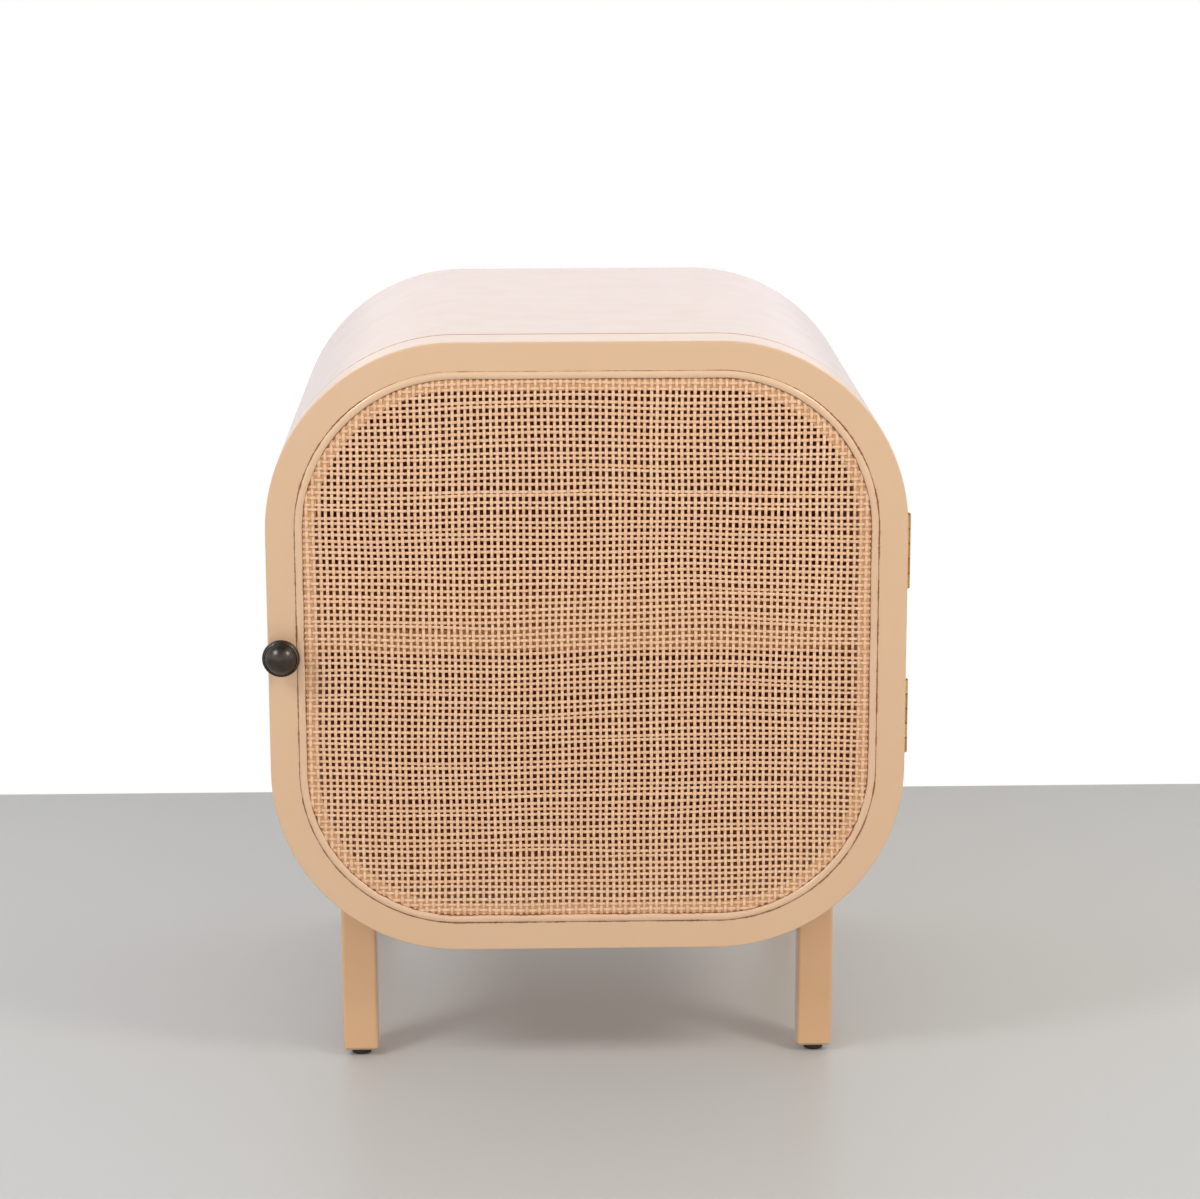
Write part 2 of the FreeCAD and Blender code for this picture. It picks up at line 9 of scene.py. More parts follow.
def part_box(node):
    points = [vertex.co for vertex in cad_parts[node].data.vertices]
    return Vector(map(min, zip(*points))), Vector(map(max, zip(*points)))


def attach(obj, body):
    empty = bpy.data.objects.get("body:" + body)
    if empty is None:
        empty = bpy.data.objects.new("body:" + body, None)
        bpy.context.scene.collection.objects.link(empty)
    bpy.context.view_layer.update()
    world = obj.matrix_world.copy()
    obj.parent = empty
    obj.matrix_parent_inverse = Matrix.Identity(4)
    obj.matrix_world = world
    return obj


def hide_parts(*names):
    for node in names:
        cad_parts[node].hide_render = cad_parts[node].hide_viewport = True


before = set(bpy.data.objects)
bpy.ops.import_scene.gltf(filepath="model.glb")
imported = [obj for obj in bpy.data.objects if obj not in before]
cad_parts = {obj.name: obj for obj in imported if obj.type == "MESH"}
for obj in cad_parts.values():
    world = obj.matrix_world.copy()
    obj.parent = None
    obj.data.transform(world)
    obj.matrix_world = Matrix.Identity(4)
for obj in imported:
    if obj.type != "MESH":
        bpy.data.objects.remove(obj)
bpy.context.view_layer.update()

# Storage side table: lacquered case and legs, a woven cane door, a bronze knob and brass hinges.
# Lengths are in metres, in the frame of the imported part.

case_low, case_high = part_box("case_shell")
door_low, door_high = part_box("door_frame")
knob_low, knob_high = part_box("knob")
panel_low, panel_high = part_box("back_panel")
upper_hinge_low, upper_hinge_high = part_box("hinge_upper_case_leaf")
lower_hinge_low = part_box("hinge_lower_case_leaf")[0]

# Outline of the table and its door
case_corner_radius = 0.130
case_wall = 0.018
case_middle_z = (case_low.z + case_high.z) / 2
corner_centre_x = case_high.x - case_corner_radius
corner_centre_up = (case_high.z - case_low.z) / 2 - case_corner_radius
case_front_y = case_low.y
door_front_y = door_low.y
door_back_y = door_high.y
cane_lip_depth = 0.0010
cane_lip_y = door_front_y + cane_lip_depth
groove_outer_inset = 0.0200
groove_inner_inset = 0.0250

# Woven cane
cane_pitch = 0.00435
column_width = 0.00205
row_width = 0.00185
strand_thickness = 0.00050
strand_crown = 0.00020
strand_strips = 2
strand_sharp_angle = 50
weave_swing = 0.00032
weave_lift = 0.00075
weave_middle_y = cane_lip_y - weave_lift
column_shift = 0.00022
column_wander = 0.00110
row_shift = 0.00040
row_wander = 0.00070
row_own_wander = 0.00110
row_own_length = 0.075
row_own_step = 5.3
row_sway = 0.00450
wander_length = 0.060
sway_length = 0.170
width_drift_share = 0.08
strand_end_inset = 0.0247
strand_end_margin = 0.0016
strand_end_drop = 0.0006
strand_seed = 11

# Reed pressed into the groove over the cane's edge
reed_outer_inset = 0.01985
reed_inner_inset = 0.02560
reed_width = reed_inner_inset - reed_outer_inset
reed_depth = 0.0040
reed_rise = 0.0010
reed_joint_gap = 0.00005
reed_sides = 16
reed_sharp_angle = 60
reed_square_share = 0.74
reed_step = 0.004
reed_wobble = 0.00016
reed_wobble_length = 0.024
reed_rise_wobble = 0.00012
reed_rise_pace = 2
reed_rise_shift = 3

# Knob, as shares of its radius and length: foot, then waist, rim and bead, then the dome's edge
knob_radius = (knob_high.x - knob_low.x) / 2
knob_length = knob_high.y - knob_low.y
knob_middle = (knob_low + knob_high) / 2
knob_sides = 72
knob_sharp_angle = 50
knob_foot_shares = (0.54, 0.055)
knob_turning_shares = (
    (0.51, 0.070), (0.45, 0.130), (0.41, 0.200), (0.395, 0.260), (0.42, 0.320), (0.50, 0.385),
    (0.62, 0.440), (0.78, 0.490), (0.90, 0.515), (0.955, 0.530), (0.985, 0.550), (1.000, 0.580),
    (1.000, 0.610), (0.990, 0.640), (0.970, 0.664), (0.945, 0.678), (0.930, 0.678), (0.922, 0.662),
    (0.912, 0.660), (0.906, 0.680), (0.894, 0.698), (0.880, 0.702), (0.868, 0.694), (0.862, 0.684))
knob_dome_shares = (0.852, 0.692)
knob_dome_steps = 14
knob_tip_share = 0.04
bead_share = 0.886
bead_height_share = 0.60

# Hinge barrels
knuckle_radius = 0.0029
knuckle_count = 5
knuckle_gap = 0.0003
hinge_axis_x = upper_hinge_high.x - knuckle_radius
hinge_axis_y = (case_front_y + door_back_y) / 2
hinge_spacing = upper_hinge_low.z - lower_hinge_low.z
knuckle_pitch = (upper_hinge_high.z - upper_hinge_low.z + knuckle_gap) / knuckle_count

# Screws, with heads a little under the face
screw_head_recess = 0.0001
screw_sides = 28
screw_sharp_angle = 30
screw_tip_share = 0.12
slot_width_share = 0.15
slot_depth_share = 0.16
cross_width_share = 0.13
cross_reach_share = 0.30
cross_depth_share = 0.22
screw_turn_step = 2.4
to_front = Vector((0, -1, 0))
to_rear = Vector((0, 1, 0))
to_left = Vector((-1, 0, 0))
merge_distance = 1e-6
sort_digits = 4

# Screw sets: name, CAD node, body, slot, way in (None: out at a corner), then length, shank and head
screw_sets = (
    ("hinge_screws_case", "hinge_case_screws", "cabinet", "brass", to_rear, (0.014, 0.0028, 0.0054)),
    ("hinge_screws_door", "hinge_door_screws", "door", "brass", to_front, (0.014, 0.0028, 0.0054)),
    ("back_screws", "back_panel_screws", "cabinet", "steel", to_front, (0.016, 0.0030, 0.0060)),
    ("leg_fixing_screws", "leg_screws", "cabinet", "steel", None, (0.040, 0.0040, 0.0080)),
    ("catch_fixing_screws", "catch_screws", "cabinet", "steel", to_left, (0.012, 0.0026, 0.0050)),
    ("strike_fixing_screw", "strike_screw", "door", "steel", to_front, (0.014, 0.0030, 0.0056)),
    ("knob_fixing_screw", "knob_screw", "door", "steel", to_front, (0.046, 0.0040, 0.0080)))

# Camera
camera_place = (-0.04294, -2.43815, 0.85821)
camera_tilt = math.radians(12.75)
camera_turn = math.radians(-1.31)
camera_roll = math.radians(-0.16)
camera_lens = 100.83
camera_sensor = 36

# Stage and light
stage_reach = 7.0
stage_roughness = 0.4
wall_y = 0.558
wall_height = 4.0
lamp_x = 1.25
lamp_y = -1.20
lamp_z = 1.55
lamp_size = 0.55
lamp_power = 12.5
lamp_target = (0, 0, 0.30)
horizon_strength = 1.36
zenith_strength = 0.25

# Colours, linear
lacquer_colour = (0.70, 0.450, 0.272, 1)
lacquer_deep_colour = (0.69, 0.438, 0.262, 1)
# Legs: the case's lacquer made darker and more orange, as painted shade under the case
shaded_leg_colour = (0.70, 0.415, 0.215, 1)
shaded_leg_deep_colour = (0.66, 0.380, 0.190, 1)
# Inside the case shell: a brown finish, deepened as painted shade of the closed case
board_colour = (0.74, 0.330, 0.115, 1)
board_fibre_colour = (0.48, 0.180, 0.052, 1)
# The back panel's face inside the case: painted shade, dark brown
lining_shade_colour = (0.43, 0.112, 0.027, 1)
lining_shade_fibre_colour = (0.25, 0.056, 0.012, 1)
panel_colour = (0.56, 0.330, 0.170, 1)
panel_fibre_colour = (0.38, 0.195, 0.090, 1)
shelf_colour = (0.81, 0.380, 0.130, 1)
shelf_fibre_colour = (0.58, 0.225, 0.060, 1)
cane_pale_colour = (0.880, 0.562, 0.352, 1)
cane_tan_colour = (0.790, 0.468, 0.276, 1)
# Painted shade on strands where they dip under another
cane_dip_shade_colour = (0.58, 0.295, 0.150, 1)
cane_fibre_colour = (0.50, 0.255, 0.115, 1)
reed_colour = (0.72, 0.470, 0.290, 1)
reed_fibre_colour = (0.63, 0.385, 0.215, 1)
haze_colour = (0.88, 0.83, 1, 1)
door_haze_colour = (1, 0.86, 0.84, 1)
# A brown line along the door's seam
seam_brown_colour = (0.33, 0.105, 0.018, 1)
# Painted shade in the cane's groove and along the reed's edges
groove_shade_colour = (0.22, 0.048, 0.004, 1)
# Painted shade on the lip under the cane
lip_shade_colour = (0.66, 0.365, 0.165, 1)
brass_colour = (0.93, 0.51, 0.185, 1)
brass_dull_colour = (0.68, 0.33, 0.085, 1)
# Painted shade at the hinges' knuckle joints and painted reflection on the knuckles
brass_knuckle_shade_colour = (0.30, 0.12, 0.02, 1)
bronze_colour = (0.036, 0.027, 0.021, 1)
bronze_rub_colour = (0.062, 0.038, 0.024, 1)
# Painted highlight on the knob's bead
bronze_bead_highlight_colour = (0.26, 0.22, 0.20, 1)
steel_colour = (0.55, 0.54, 0.52, 1)
steel_dull_colour = (0.36, 0.35, 0.34, 1)
plastic_colour = (0.012, 0.009, 0.007, 1)
plastic_pale_colour = (0.024, 0.019, 0.016, 1)
magnet_colour = (0.030, 0.030, 0.032, 1)
floor_colour = (0.56, 0.56, 0.56, 1)
left_lamp_colour = (0.94, 0.975, 1.0)
right_lamp_colour = (1, 0.96, 0.80)
white = (1, 1, 1, 1)

# Finishes: a noise is lumps per metre and detail, a range its old and new ends, a drift both of them
lacquer_settings = {"IOR": 1.5, "Coat Roughness": 0.25, "Coat IOR": 1.6, "Sheen Roughness": 0.35}
lacquer_gloss = 0.40
lacquer_relief = 0.00003
lacquer_tone_drift = (9, 3, 0.35, 0.68, 0, 0.8)
lacquer_gloss_drift = (36, 3, 0.3, 0.7, -0.05, 0.05)
lacquer_speckle_noise = (420, 2)
lacquer_speckle_share = 0.25
lacquer_peel_noise = (260, 3)
board_settings = {"IOR": 1.5, "Coat Weight": 0.3, "Coat Roughness": 0.35}
board_relief = 0.00003
upright_grain = (300, 300, 6)
crosswise_grain = (6, 300, 300)
lengthwise_grain = (300, 6, 300)
cane_settings = {"IOR": 1.5, "Coat Weight": 0.7, "Coat Roughness": 0.2}
cane_relief = 0.00004
upright_fibre = (2400, 2400, 40)
crosswise_fibre = (40, 2400, 2400)
# Painted shade where strands dip: the depths over which it grows, and its full share
dip_shade_depths = (0.00004, 0.00026)
dip_shade_share = 0.6
reed_settings = {"IOR": 1.5, "Coat Weight": 1, "Coat Roughness": 0.22, "Coat IOR": 1.6}
reed_relief = 0.00005
reed_fibre_across = 2600
reed_fibre_along = 25
fibre_noise = (1, 3)
fibre_line_range = (0.50, 0.72, 0, 0.55)
fibre_patch_noise = (70, 3)
fibre_patch_range = (0.3, 0.7, 0.4, 1)
fibre_gloss_range = (0.3, 0.7, 0.36, 0.52)
metal_settings = {"Metallic": 1, "Coat Roughness": 0.27}
metal_relief = 0.00001
metal_cloud_noise = (180, 4)
metal_tarnish_range = (0.42, 0.75, 0, 0.8)
metal_polish_range = (0.3, 0.7, -0.06, 0.12)
metal_rub_noise = (900, 2)
metal_rub_stretch = (1, 1, 6)
moulded_settings = {"IOR": 1.5}
moulded_relief = 0.00002
moulded_noise = (2400, 2)
moulded_noise_ends = (0.3, 0.7)
moulded_gloss_spread = 0.12

# Two tones of each finish, then coat and haze of a lacquer, polish and coat of a metal, or gloss
outer_finish = (lacquer_colour, lacquer_deep_colour, 1, 0.46)
shaded_leg_finish = (shaded_leg_colour, shaded_leg_deep_colour, 0.8, 0.3)
brass_finish = (brass_colour, brass_dull_colour, 0.24, 0)
bronze_finish = (bronze_colour, bronze_rub_colour, 0.33, 0.8)
steel_finish = (steel_colour, steel_dull_colour, 0.32, 0)
plastic_finish = (plastic_colour, plastic_pale_colour, 0.45)
magnet_finish = (magnet_colour, plastic_colour, 0.6)

# Painted shade in the groove, on the lip and at the knuckles, a brown seam line, the deep brown inside, and
# a painted highlight on the knob's bead
# Painted shade lines along the groove: their patches and fraying
shade_patch_drift = (55, 4, 0.36, 0.62, 0.50, 1.30)
shade_fray_drift = (420, 2, 0.3, 0.7, 0.6, 1.3)
outer_line_spread = 0.0009
outer_line_top_spread = 0.0003
inner_line_spread = 0.0009
# The outer painted shade line fades towards the top
line_fade_steps = (-0.060, -0.026)
groove_shade_blur = 0.00005
groove_shade_steps = (0.008, 0.010)
lip_blur = 0.0004
lip_steps = (0.001, 0.004)
seam_insets = (0.0010, 0.0014)
case_seam_steps = (0.0006, 0.0011)
door_seam_steps = (-0.0004, -0.0008)
inside_steps = (-0.0006, -0.0002)
# Painted highlight on the knob's bead: its reach and its patches
bead_highlight_reaches = (0.00015, 0.00040)
bead_highlight_drift = (160, 2, 0.3, 0.7, 0.5, 1)
# Painted shade at the knuckle joints and painted reflection tone on each knuckle
barrel_steps = (0.0002, 0.0004)
knuckle_joint_shares = (0.02, 0.07)
knuckle_reflection_share = 0.65


# Node helpers

def feed(tree, socket, value):
    """Link an input to a value that is a socket, or set it to a plain one."""
    if isinstance(value, bpy.types.NodeSocket):
        tree.links.new(value, socket)
    else:
        socket.default_value = value


def fill(tree, node, values):
    """Feed a node's inputs, given by name or number."""
    for key, value in values.items():
        feed(tree, node.inputs[key], value)


def math_node(tree, operation, *values):
    """A math node whose inputs are sockets or plain numbers."""
    node = tree.nodes.new("ShaderNodeMath")
    node.operation = operation
    fill(tree, node, dict(enumerate(values)))
    return node.outputs["Value"]


def gap_node(tree, first, second):
    """How far two values lie apart."""
    return math_node(tree, "ABSOLUTE", math_node(tree, "SUBTRACT", first, second))


def split_place(tree, place):
    """The X, Y and Z of a place socket."""
    node = tree.nodes.new("ShaderNodeSeparateXYZ")
    fill(tree, node, {"Vector": place})
    return node.outputs


def stretched(tree, place, stretch):
    """A place socket scaled by axis, to draw a pattern out along one of them."""
    node = tree.nodes.new("ShaderNodeMapping")
    fill(tree, node, {"Vector": place, "Scale": stretch})
    return node.outputs["Vector"]


def noise_node(tree, place, scale, detail):
    """Noise over a place socket, with scale in lumps per metre."""
    node = tree.nodes.new("ShaderNodeTexNoise")
    fill(tree, node, {"Vector": place, "Scale": scale, "Detail": detail})
    return node.outputs["Fac"]


def range_node(tree, value, low, high, new_low, new_high):
    """Map a value from one range to another, clamped and smooth."""
    node = tree.nodes.new("ShaderNodeMapRange")
    node.interpolation_type = "SMOOTHSTEP"
    ends = {"From Min": low, "From Max": high, "To Min": new_low, "To Max": new_high}
    fill(tree, node, {"Value": value, **ends})
    return node.outputs["Result"]


def drift_node(tree, place, scale, detail, *ends):
    """Noise over a place socket, mapped to another range."""
    return range_node(tree, noise_node(tree, place, scale, detail), *ends)


def mix_node(tree, share, first, second):
    """Mix two colours by a share socket."""
    node = tree.nodes.new("ShaderNodeMix")
    node.data_type = "RGBA"
    fill(tree, node, {0: share, 6: first, 7: second})
    return node.outputs[2]


def new_group(name, inputs, outputs):
    """An empty group with sockets given as name and kind."""
    group = bpy.data.node_groups.new(name, "ShaderNodeTree")
    for way, sockets in (("INPUT", inputs), ("OUTPUT", outputs)):
        for socket_name, kind in sockets:
            group.interface.new_socket(socket_name, in_out=way, socket_type="NodeSocket" + kind)
    start = group.nodes.new("NodeGroupInput")
    end = group.nodes.new("NodeGroupOutput")
    return group, start.outputs, end.inputs


def place_group(tree, group, **values):
    """Put a group into a material with its own values or links."""
    node = tree.nodes.new("ShaderNodeGroup")
    node.node_tree = group
    fill(tree, node, {name.replace("_", " "): value for name, value in values.items()})
    return node.outputs


def new_material(name, slot, settings):
    """A Principled material with its settings, and a place socket in Object coordinates."""
    material = bpy.data.materials.new(name)
    material.use_nodes = True
    tree = material.node_tree
    shader = tree.nodes["Principled BSDF"]
    fill(tree, shader, settings)
    place = tree.nodes.new("ShaderNodeTexCoord").outputs["Object"]
    material["slot"] = slot
    return material, tree, shader.inputs, place


def relief(tree, height, shader, depth):
    """Bump from a height socket, with its full depth in metres."""
    node = tree.nodes.new("ShaderNodeBump")
    fill(tree, node, {"Height": height, "Strength": 1, "Distance": depth})
    feed(tree, shader["Normal"], node.outputs["Normal"])


# Effects that several materials share

def new_effect(name, *own_inputs):
    """A group that makes a surface from a place, a colour and inputs of its own."""
    inputs = [("Place", "Vector"), ("Colour", "Color"), *own_inputs]
    return new_group(name, inputs, [("Colour", "Color"), ("Roughness", "Float"), ("Height", "Float")])


def lacquer_group():
    """Sprayed satin lacquer: slow tone drift, fine orange-peel relief and uneven gloss."""
    group, start, end = new_effect("sprayed_lacquer", ("Deep colour", "Color"), ("Gloss", "Float"))
    place = start["Place"]
    speckle = noise_node(group, place, *lacquer_speckle_noise)
    drift = drift_node(group, place, *lacquer_tone_drift)
    tone = math_node(group, "MULTIPLY_ADD", speckle, lacquer_speckle_share, drift)
    feed(group, end["Colour"], mix_node(group, tone, start["Colour"], start["Deep colour"]))
    uneven = drift_node(group, place, *lacquer_gloss_drift)
    feed(group, end["Roughness"], math_node(group, "ADD", start["Gloss"], uneven))
    feed(group, end["Height"], noise_node(group, place, *lacquer_peel_noise))
    return group


def outline_group():
    """How far a point lies inside the rounded-square outline."""
    group, start, end = new_group("outline_inset", [("Place", "Vector")], [("Inset", "Float")])
    at = split_place(group, start["Place"])
    up = math_node(group, "ADD", at["Z"], -case_middle_z)
    past_x = math_node(group, "ADD", math_node(group, "ABSOLUTE", at["X"]), -corner_centre_x)
    past_up = math_node(group, "ADD", math_node(group, "ABSOLUTE", up), -corner_centre_up)
    square_x = math_node(group, "POWER", math_node(group, "MAXIMUM", past_x, 0), 2)
    square_up = math_node(group, "POWER", math_node(group, "MAXIMUM", past_up, 0), 2)
    corner = math_node(group, "SQRT", math_node(group, "ADD", square_x, square_up))
    side = math_node(group, "MINIMUM", math_node(group, "MAXIMUM", past_x, past_up), 0)
    reach = math_node(group, "ADD", corner, side)
    feed(group, end["Inset"], math_node(group, "SUBTRACT", case_corner_radius, reach))
    return group


def shade_line_group(outline):
    """Painted shade: a thin, broken brown line along one edge of the cane's groove, where the gap beside the
    reed lies in shade.
    """
    group, start, end = new_group(
        "groove_shade_line", [("Place", "Vector"), ("Edge", "Float"), ("Spread", "Float")], [("Mask", "Float")])
    place = start["Place"]
    inset = place_group(group, outline, Place=place)["Inset"]
    away = gap_node(group, inset, start["Edge"])
    patch = drift_node(group, place, *shade_patch_drift)
    fray = drift_node(group, place, *shade_fray_drift)
    reach = math_node(group, "MULTIPLY", start["Spread"], math_node(group, "MULTIPLY", patch, fray))
    feed(group, end["Mask"], range_node(group, away, 0, reach, 1, 0))
    return group


def fibre_group():
    """Cane, reed or grain: fine dark fibres along the run, pale patches and uneven gloss."""
    group, start, end = new_effect("split_fibre", ("Stretched place", "Vector"), ("Fibre colour", "Color"))
    fibre = noise_node(group, start["Stretched place"], *fibre_noise)
    patch = noise_node(group, start["Place"], *fibre_patch_noise)
    line = range_node(group, fibre, *fibre_line_range)
    dark = math_node(group, "MULTIPLY", line, range_node(group, patch, *fibre_patch_range))
    feed(group, end["Colour"], mix_node(group, dark, start["Colour"], start["Fibre colour"]))
    feed(group, end["Roughness"], range_node(group, patch, *fibre_gloss_range))
    feed(group, end["Height"], fibre)
    return group


def metal_group():
    """Handled metal: cloudy tarnish, fine rubbing marks and uneven polish."""
    group, start, end = new_effect("handled_metal", ("Dull colour", "Color"), ("Polish", "Float"))
    cloud = noise_node(group, start["Place"], *metal_cloud_noise)
    tarnish_and_shade = range_node(group, cloud, *metal_tarnish_range)
    feed(group, end["Colour"], mix_node(group, tarnish_and_shade, start["Colour"], start["Dull colour"]))
    uneven = range_node(group, cloud, *metal_polish_range)
    feed(group, end["Roughness"], math_node(group, "ADD", start["Polish"], uneven))
    rubbed = stretched(group, start["Place"], metal_rub_stretch)
    feed(group, end["Height"], noise_node(group, rubbed, *metal_rub_noise))
    return group


sprayed_lacquer = lacquer_group()
outline_inset = outline_group()
groove_shade_line = shade_line_group(outline_inset)
split_fibre = fibre_group()
handled_metal = metal_group()


# Materials

def beyond(start, steps):
    """The places at some steps from a start."""
    return [start + step for step in steps]


def use_effect(tree, shader, effect, depth):
    """Feed a shader from an effect's colour, roughness and height."""
    feed(tree, shader["Base Color"], effect["Colour"])
    feed(tree, shader["Roughness"], effect["Roughness"])
    relief(tree, effect["Height"], shader, depth)


def fibre_effect(tree, place, run, colour, fibre_colour):
    """Fibre or grain over a place socket and one that is stretched along its run."""
    return place_group(
        tree, split_fibre, Place=place, Stretched_place=run, Colour=colour, Fibre_colour=fibre_colour)


def lacquer_material(name, haze_tint, colour, deep_colour, coat, haze):
    """Satin lacquer under a clear coat, with a pale haze at a low angle."""
    settings = {**lacquer_settings, "Coat Weight": coat, "Sheen Weight": haze, "Sheen Tint": haze_tint}
    material, tree, shader, place = new_material(name, "painted_wood", settings)
    effect = place_group(
        tree, sprayed_lacquer, Place=place, Colour=colour, Deep_colour=deep_colour, Gloss=lacquer_gloss)
    use_effect(tree, shader, effect, lacquer_relief)
    return material, tree, shader, place, effect["Colour"]


def seam_mask(tree, place, inset, full_y, end_y):
    """The outer edge beside the door's seam, from its full brown to where it ends."""
    near_seam = range_node(tree, split_place(tree, place)["Y"], full_y, end_y, 1, 0)
    near_edge = range_node(tree, inset, *seam_insets, 1, 0)
    return math_node(tree, "MULTIPLY", near_seam, near_edge)


def case_lacquer_material():
    """Lacquer outside, a deep brown inside the shell, a brown finish deepened as painted shade, and a brown
    line along the door's seam.
    """
    material, tree, shader, place, colour = lacquer_material("case_lacquer", haze_colour, *outer_finish)
    inset = place_group(tree, outline_inset, Place=place)["Inset"]
    # Inside the shell: the brown finish, deepened as painted shade
    inside = range_node(tree, inset, *beyond(case_wall, inside_steps), 0, 1)
    run = stretched(tree, place, lengthwise_grain)
    inside_brown = fibre_effect(tree, place, run, board_colour, board_fibre_colour)
    colour = mix_node(tree, inside, colour, inside_brown["Colour"])
    seam = seam_mask(tree, place, inset, *beyond(case_front_y, case_seam_steps))
    feed(tree, shader["Base Color"], mix_node(tree, seam, colour, seam_brown_colour))
    bare = math_node(tree, "MAXIMUM", seam, inside)
    feed(tree, shader["Coat Weight"], math_node(tree, "SUBTRACT", 1, bare))
    return material


def board_material(name, colour, fibre_colour, grain):
    """Stained board with its grain one way, under a thin satin lacquer."""
    material, tree, shader, place = new_material(name, "inner_board", board_settings)
    run = stretched(tree, place, grain)
    effect = fibre_effect(tree, place, run, colour, fibre_colour)
    use_effect(tree, shader, effect, board_relief)
    return material, tree, shader, place, run, effect["Colour"]


def panel_material():
    """The back panel's board: painted shade, a dark brown, on its face inside the case; plain behind."""
    material, tree, shader, place, run, plain = board_material(
        "panel_board", panel_colour, panel_fibre_colour, upright_grain)
    # Its face inside the case: painted shade, dark brown
    inside_brown = fibre_effect(tree, place, run, lining_shade_colour, lining_shade_fibre_colour)
    middle_y = (panel_low.y + panel_high.y) / 2
    behind = math_node(tree, "GREATER_THAN", split_place(tree, place)["Y"], middle_y)
    feed(tree, shader["Base Color"], mix_node(tree, behind, inside_brown["Colour"], plain))
    return material


def groove_shade_lines(tree, place):
    """Painted shade along the reed's two edges; the outer line fades at the top, where the raised reed hides
    its gap.
    """
    fade = beyond(case_high.z, line_fade_steps)
    height = split_place(tree, place)["Z"]
    spread = range_node(tree, height, *fade, outer_line_spread, outer_line_top_spread)
    outer = place_group(tree, groove_shade_line, Place=place, Edge=groove_outer_inset, Spread=spread)
    inner = place_group(tree, groove_shade_line, Place=place, Edge=reed_inner_inset, Spread=inner_line_spread)
    return outer["Mask"], inner["Mask"]


def groove_shade_mask(tree, place, inset):
    """Painted shade: dark brown in the cane's groove and beside it, as deep as the groove goes."""
    middle = (groove_outer_inset + groove_inner_inset) / 2
    half = (groove_inner_inset - groove_outer_inset) / 2
    away = gap_node(tree, inset, middle)
    mask = range_node(tree, away, half - groove_shade_blur, half + groove_shade_blur, 1, 0)
    for line in groove_shade_lines(tree, place):
        mask = math_node(tree, "MAXIMUM", mask, line)
    depth = split_place(tree, place)["Y"]
    in_groove = range_node(tree, depth, *beyond(door_front_y, groove_shade_steps), 1, 0)
    return math_node(tree, "MULTIPLY", mask, in_groove)


def lip_shade_mask(tree, place, inset):
    """Painted shade on the lip that the cane lies on, inside the groove, under the cane."""
    on_lip = range_node(tree, inset, groove_inner_inset, groove_inner_inset + lip_blur, 0, 1)
    depth = split_place(tree, place)["Y"]
    near_front = range_node(tree, depth, *beyond(cane_lip_y, lip_steps), 1, 0)
    return math_node(tree, "MULTIPLY", on_lip, near_front)


def door_lacquer_material():
    """The case's lacquer, with painted shade in and beside the cane's groove and on its lip, and a brown
    line along the seam.
    """
    material, tree, shader, place, colour = lacquer_material("door_lacquer", door_haze_colour, *outer_finish)
    inset = place_group(tree, outline_inset, Place=place)["Inset"]
    # Painted shade in and beside the groove
    groove = groove_shade_mask(tree, place, inset)
    seam = seam_mask(tree, place, inset, *beyond(door_back_y, door_seam_steps))
    # Painted shade on the lip under the cane
    lip = lip_shade_mask(tree, place, inset)
    colour = mix_node(tree, lip, colour, lip_shade_colour)
    colour = mix_node(tree, seam, colour, seam_brown_colour)
    feed(tree, shader["Base Color"], mix_node(tree, groove, colour, groove_shade_colour))
    bare = math_node(tree, "MAXIMUM", math_node(tree, "MAXIMUM", groove, seam), lip)
    feed(tree, shader["Coat Weight"], math_node(tree, "SUBTRACT", 1, bare))
    return material


def cane_material(name, fibre):
    """Split cane with a tone for each strand, and painted shade where it dips under another."""
    material, tree, shader, place = new_material(name, "cane", cane_settings)
    tone = tree.nodes.new("ShaderNodeAttribute")
    tone.attribute_name = "strand_tone"
    colour = mix_node(tree, tone.outputs["Fac"], cane_pale_colour, cane_tan_colour)
    # Painted shade: darker where the strand dips under another
    depth = gap_node(tree, split_place(tree, place)["Y"], weave_middle_y)
    colour = mix_node(tree, range_node(tree, depth, *dip_shade_depths, dip_shade_share, 0), colour, cane_dip_shade_colour)
    effect = fibre_effect(tree, place, stretched(tree, place, fibre), colour, cane_fibre_colour)
    use_effect(tree, shader, effect, cane_relief)
    return material


def reed_material():
    """Reed whose fibres follow the outline, with painted shade along both edges."""
    material, tree, shader, place = new_material("reed", "reed", reed_settings)
    inset = place_group(tree, outline_inset, Place=place)["Inset"]
    along = tree.nodes.new("ShaderNodeVectorMath")
    along.operation = "SCALE"
    fill(tree, along, {"Vector": place, "Scale": reed_fibre_along})
    across = tree.nodes.new("ShaderNodeCombineXYZ")
    fill(tree, across, {"Y": math_node(tree, "MULTIPLY", inset, reed_fibre_across)})
    run = tree.nodes.new("ShaderNodeVectorMath")
    fill(tree, run, {0: along.outputs[0], 1: across.outputs[0]})
    effect = fibre_effect(tree, place, run.outputs[0], reed_colour, reed_fibre_colour)
    use_effect(tree, shader, effect, reed_relief)
    # Painted shade along both edges of the reed
    lines = math_node(tree, "MAXIMUM", *groove_shade_lines(tree, place))
    feed(tree, shader["Base Color"], mix_node(tree, lines, effect["Colour"], groove_shade_colour))
    feed(tree, shader["Coat Weight"], math_node(tree, "SUBTRACT", 1, lines))
    return material


def metal_material(name, colour, dull_colour, polish, coat):
    """Handled metal, bare or under a coat."""
    material, tree, shader, place = new_material(name, name, {**metal_settings, "Coat Weight": coat})
    effect = place_group(
        tree, handled_metal, Place=place, Colour=colour, Dull_colour=dull_colour, Polish=polish)
    use_effect(tree, shader, effect, metal_relief)
    return material, tree, shader, place, effect["Colour"]


